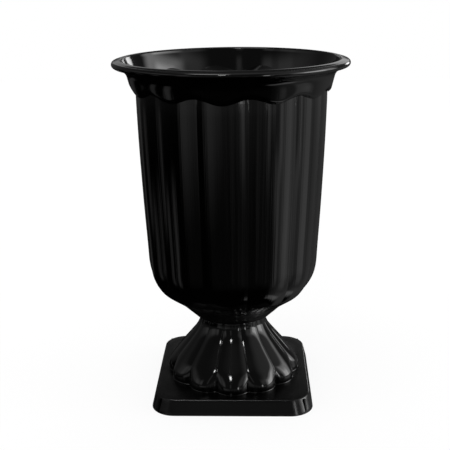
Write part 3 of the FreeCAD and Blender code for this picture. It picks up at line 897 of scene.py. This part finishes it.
def surface(name, color, metallic, roughness, roughness_spread, scale, depth):
    """A plain material whose roughness, tint and fine bumps vary over the piece."""
    material, tree, shader = new_material(name)
    shader.inputs["Metallic"].default_value = metallic
    place = tree.nodes.new("ShaderNodeTexCoord")
    stretch = tree.nodes.new("ShaderNodeMapping")
    stretch.inputs["Scale"].default_value = scale
    tree.links.new(place.outputs["Object"], stretch.inputs["Vector"])
    grain = tree.nodes.new("ShaderNodeTexNoise")
    grain.inputs["Scale"].default_value = GRAIN_SCALE
    grain.inputs["Detail"].default_value = 4
    tree.links.new(stretch.outputs[0], grain.inputs["Vector"])
    rough = ramp_node(tree, grain.outputs["Fac"], 0, 1, roughness - roughness_spread,
                      roughness + roughness_spread, "LINEAR")
    tree.links.new(rough, shader.inputs["Roughness"])
    mix_colors(tree, grain.outputs["Fac"], tuple(DARKER * part for part in color) + (1,),
               tuple(LIGHTER * part for part in color) + (1,), shader.inputs["Base Color"])
    bump = tree.nodes.new("ShaderNodeBump")
    bump.inputs["Distance"].default_value = depth
    tree.links.new(grain.outputs["Fac"], bump.inputs["Height"])
    tree.links.new(bump.outputs[0], shader.inputs["Normal"])
    return material


FLOOR_SIDE = 6
FLOOR_GLOW = 0.85           # share of the floor's paleness that is its own, and not lit


def make_floor():
    """A plain floor, pale to the camera. The gloss of the vase looks through it to the studio."""
    bpy.ops.object.select_all(action="DESELECT")
    bpy.ops.mesh.primitive_plane_add(size=FLOOR_SIDE)
    floor = bpy.context.object
    floor.name = "studio_floor"
    material = bpy.data.materials.new("pale_floor")
    floor.data.materials.append(material)
    material.use_nodes = True
    tree = material.node_tree
    tree.nodes.clear()
    paint = tree.nodes.new("ShaderNodeBsdfDiffuse")
    paint.inputs["Color"].default_value = (0.96, 0.96, 0.96, 1)
    glow = tree.nodes.new("ShaderNodeEmission")
    glow.inputs["Color"].default_value = (1, 1, 1, 1)
    pale = tree.nodes.new("ShaderNodeMixShader")
    pale.inputs[0].default_value = FLOOR_GLOW
    tree.links.new(paint.outputs[0], pale.inputs[1])
    tree.links.new(glow.outputs[0], pale.inputs[2])
    clear = tree.nodes.new("ShaderNodeBsdfTransparent")
    path = tree.nodes.new("ShaderNodeLightPath")
    side = tree.nodes.new("ShaderNodeNewGeometry")
    from_above = math_node(tree, "SUBTRACT", path.outputs["Is Camera Ray"], side.outputs["Backfacing"])
    from_above.node.use_clamp = True
    shown = tree.nodes.new("ShaderNodeMixShader")
    tree.links.new(from_above, shown.inputs[0])
    tree.links.new(clear.outputs[0], shown.inputs[1])
    tree.links.new(pale.outputs[0], shown.inputs[2])
    output = tree.nodes.new("ShaderNodeOutputMaterial")
    tree.links.new(shown.outputs[0], output.inputs[0])


CAMERA_PLACE = (0.02388, -1.03939, 0.52851)
CAMERA_FORWARD = Vector((-0.03022, 0.95634, -0.29067))
CAMERA_ROLL = math.radians(-0.66)
CAMERA_LENS = 69.37
CAMERA_SENSOR = 36


def make_camera():
    bpy.ops.object.camera_add(location=CAMERA_PLACE)
    camera = bpy.context.object
    camera.rotation_euler = CAMERA_FORWARD.to_track_quat("-Z", "Y").to_euler()
    bpy.context.view_layer.update()
    camera.rotation_euler.rotate_axis("Z", CAMERA_ROLL)
    camera.data.lens = CAMERA_LENS
    camera.data.sensor_width = CAMERA_SENSOR
    bpy.context.scene.camera = camera


# Soft panels of the studio. Bearings are in degrees from the front and grow to the right,
# and heights are in degrees above the vase's own level. Each side has its own soft edge, and a
# panel below level is a lit patch of the ground, seen through the floor
PANELS = (                  # left, right, bottom, top, edges of these four, brightness
    # Large window on the right, its bright middle, and the glow beside and above it
    (64, 116, -5, 25, 16, 14, 5, 8, 2.8),
    (73, 100, -4, 18, 6, 10, 4, 8, 4.0),
    (34, 66, 6, 30, 18, 8, 8, 14, 0.5),
    (52, 145, 24, 60, 40, 30, 10, 20, 0.4),
    # Ground on the right, under the window
    (60, 150, -54, -5, 30, 60, 6, 8, 0.2),
    (64, 79, -25, -5, 10, 4, 6, 4, 0.14),
    (83, 104, -36, -5, 7, 14, 14, 4, 0.36),
    (80, 106, -25, -5, 4, 14, 6, 4, 0.22),
    (84, 120, -56, -42, 10, 12, 5, 8, 0.12),
    (58, 110, -59, -50, 8, 24, 3, 5, 0.8),
    # Strips of light on the ground between the front and the window
    (34, 41, -16, -3, 4, 4, 12, 4, 0.7),
    (35, 44, -30, -16, 3, 3, 10, 4, 0.07),
    (46, 53, -13, -3, 3, 3, 5, 4, 0.4),
    (55, 60, -22, -15, 3, 3, 5, 4, 0.4),
    (61, 69, -32, -16, 5, 4, 12, 4, 0.42),
    (69, 74, -17, -4, 3, 3, 5, 4, 0.75),
    # Ground in front, with three narrow strips
    (-46, 64, -34, -6, 8, 10, 14, 6, 0.035),
    (12, 17, -26, -5, 2, 2, 12, 3, 0.12),
    (-4, 0, -22, -5, 2, 2, 10, 3, 0.08),
    (24, 29, -28, -5, 2, 3, 12, 3, 0.1),
    (-10, 62, -15, 0, 14, 30, 14, 8, 0.1),
    # Ground at the left of the front
    (-50, -12, -16, -4, 5, 14, 15, 4, 0.27),
    (-52, -30, -20, -4, 4, 20, 12, 4, 0.14),
    # Pale walls on the left and in front, with three brighter stretches
    (-100, -37, 5, 26, 50, 4, 8, 14, 0.35),
    (-78, -59, 5, 26, 8, 5, 8, 14, 0.2),
    (-50, -40, 6, 28, 4, 4, 6, 10, 0.22),
    (-12, -6, 8, 30, 3, 3, 6, 8, 0.35),
    # Small lamp high in front, and a narrow one at the right of the front
    (-12.5, -4.5, 42.0, 47.0, 2, 2, 2, 2, 30.0),
    (31, 37, -8, 6, 2, 2, 2, 2, 6.0),
    # Ground on the left
    (-121, -110, -20, -10, 4, 4, 4, 4, 0.12),
    (-104, -96, -31, -18, 4, 4, 6, 4, 0.2),
    (-83, -74, -34, -18, 4, 4, 10, 5, 0.36),
    (-152, -138, -24, -8, 8, 8, 6, 6, 0.07),
    # Behind the vase: a small window, the wall and a darker patch above it
    (144, 156, 2, 13, 3, 3, 3, 3, 5.0),
    (154, 177, 6, 20, 6, 3, 4, 3, 0.75),
    (-178, -160, 6, 20, 2, 6, 4, 3, 0.35),
    (-180, -160, 22, 40, 1, 10, 3, 10, -0.05),
    (160, 180, 22, 40, 10, 1, 3, 10, -0.05),
    # Ceiling, with a bright panel over the front
    (-180, 180, 52, 90, 1, 1, 16, 1, 0.12),
    (-60, -3, 58, 84, 10, 12, 6, 6, 3.0),
    (-76, -54, 62, 84, 5, 5, 4, 4, 5.0),
    (-180, 180, 66, 90, 1, 1, 12, 1, 0.3),
)
GROUND_LIGHT = 0.002
WALL_LIGHT = 0.11
GROUND_EDGE = -16           # the dark ground turns into the dim walls between here and level


def make_world():
    """A white background for the camera, and the studio's dark walls and soft panels for the
    gloss of the plastic."""
    world = bpy.data.worlds.new("studio")
    bpy.context.scene.world = world
    world.use_nodes = True
    tree = world.node_tree
    tree.nodes.clear()
    place = tree.nodes.new("ShaderNodeTexCoord")
    parts = tree.nodes.new("ShaderNodeSeparateXYZ")
    tree.links.new(place.outputs["Generated"], parts.inputs[0])
    front = math_node(tree, "MULTIPLY", parts.outputs["Y"], -1.0)
    bearing = math_node(tree, "DEGREES", math_node(tree, "ARCTAN2", parts.outputs["X"], front))
    height = math_node(tree, "DEGREES", math_node(tree, "ARCSINE", parts.outputs["Z"]))

    def between(value, low, high, low_edge, high_edge):
        return math_node(tree, "MULTIPLY",
                         ramp_node(tree, value, low - low_edge / 2, low + low_edge / 2, 0, 1),
                         ramp_node(tree, value, high - high_edge / 2, high + high_edge / 2, 1, 0))

    light = math_node(tree, "MULTIPLY_ADD", ramp_node(tree, height, GROUND_EDGE, 0, 0, 1),
                      WALL_LIGHT - GROUND_LIGHT, GROUND_LIGHT)
    for left, right, bottom, top, left_edge, right_edge, low_edge, top_edge, brightness in PANELS:
        sides = between(bearing, left, right, left_edge, right_edge)
        ends = between(height, bottom, top, low_edge, top_edge)
        light = math_node(tree, "MULTIPLY_ADD", math_node(tree, "MULTIPLY", sides, ends), brightness,
                          light)
    panels = tree.nodes.new("ShaderNodeBackground")
    tree.links.new(light, panels.inputs["Strength"])
    white = tree.nodes.new("ShaderNodeBackground")
    white.inputs["Color"].default_value = (1, 1, 1, 1)
    path = tree.nodes.new("ShaderNodeLightPath")
    plain = math_node(tree, "MAXIMUM", path.outputs["Is Camera Ray"], path.outputs["Is Diffuse Ray"])
    mix = tree.nodes.new("ShaderNodeMixShader")
    tree.links.new(plain, mix.inputs[0])
    tree.links.new(panels.outputs[0], mix.inputs[1])
    tree.links.new(white.outputs[0], mix.inputs[2])
    output = tree.nodes.new("ShaderNodeOutputWorld")
    tree.links.new(mix.outputs[0], output.inputs[0])


bowl = make_bowl()
pedestal = make_pedestal()
clamp_plastic = surface("black_clamp_plastic", (0.02, 0.02, 0.021), 0.0, 0.35, 0.08, (1, 1, 1),
                        0.03 * MM)
seal_rubber = surface("dark_seal_rubber", (0.03, 0.03, 0.03), 0.0, 0.75, 0.1, (0.8, 0.8, 0.8),
                      0.08 * MM)
washer_steel = surface("zinc_plated_steel", (0.62, 0.63, 0.65), 1.0, 0.32, 0.1, (0.2, 0.2, 4),
                       0.02 * MM)
plinth_plastic = gloss_plastic("black_satin_plinth", 0.22)
pieces = (                  # piece, body, node that it replaces, material slot, material
    (bowl, "bowl", "bowl", "bowl", bowl_plastic()),
    (pedestal, "foot", "pedestal", "pedestal", gloss_plastic("black_gloss_pedestal", 0.08)),
    (make_clamp_bolt(), "clamp", "clamp_bolt", "clamp_plastic", clamp_plastic),
    (make_washer("seal_washer_moulded", SEAL_OUTLINE), "clamp", "seal_washer", "seal_rubber",
     seal_rubber),
    (make_washer("flat_washer_pressed", FLAT_WASHER_OUTLINE), "washer", "flat_washer",
     "washer_steel", washer_steel),
    (make_wing_nut(), "nut", "wing_nut", "clamp_plastic", clamp_plastic),
)
for piece, body, node, slot, material in pieces:
    piece.data.materials.append(material)
    bpy.ops.object.select_all(action="DESELECT")
    piece.select_set(True)
    bpy.context.view_layer.objects.active = piece
    bpy.ops.object.shade_smooth_by_angle(angle=SMOOTH_ANGLE)
    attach(piece, body)
    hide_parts(node)

# The plinth is a little duller than the bell that stands on it
pedestal.data.materials.append(plinth_plastic)
for face in pedestal.data.polygons:
    if face.center.z < PLINTH_TOP + MERGE_DISTANCE:
        face.material_index = 1

make_floor()
make_camera()
make_world()
bpy.context.scene.view_settings.view_transform = "Standard"
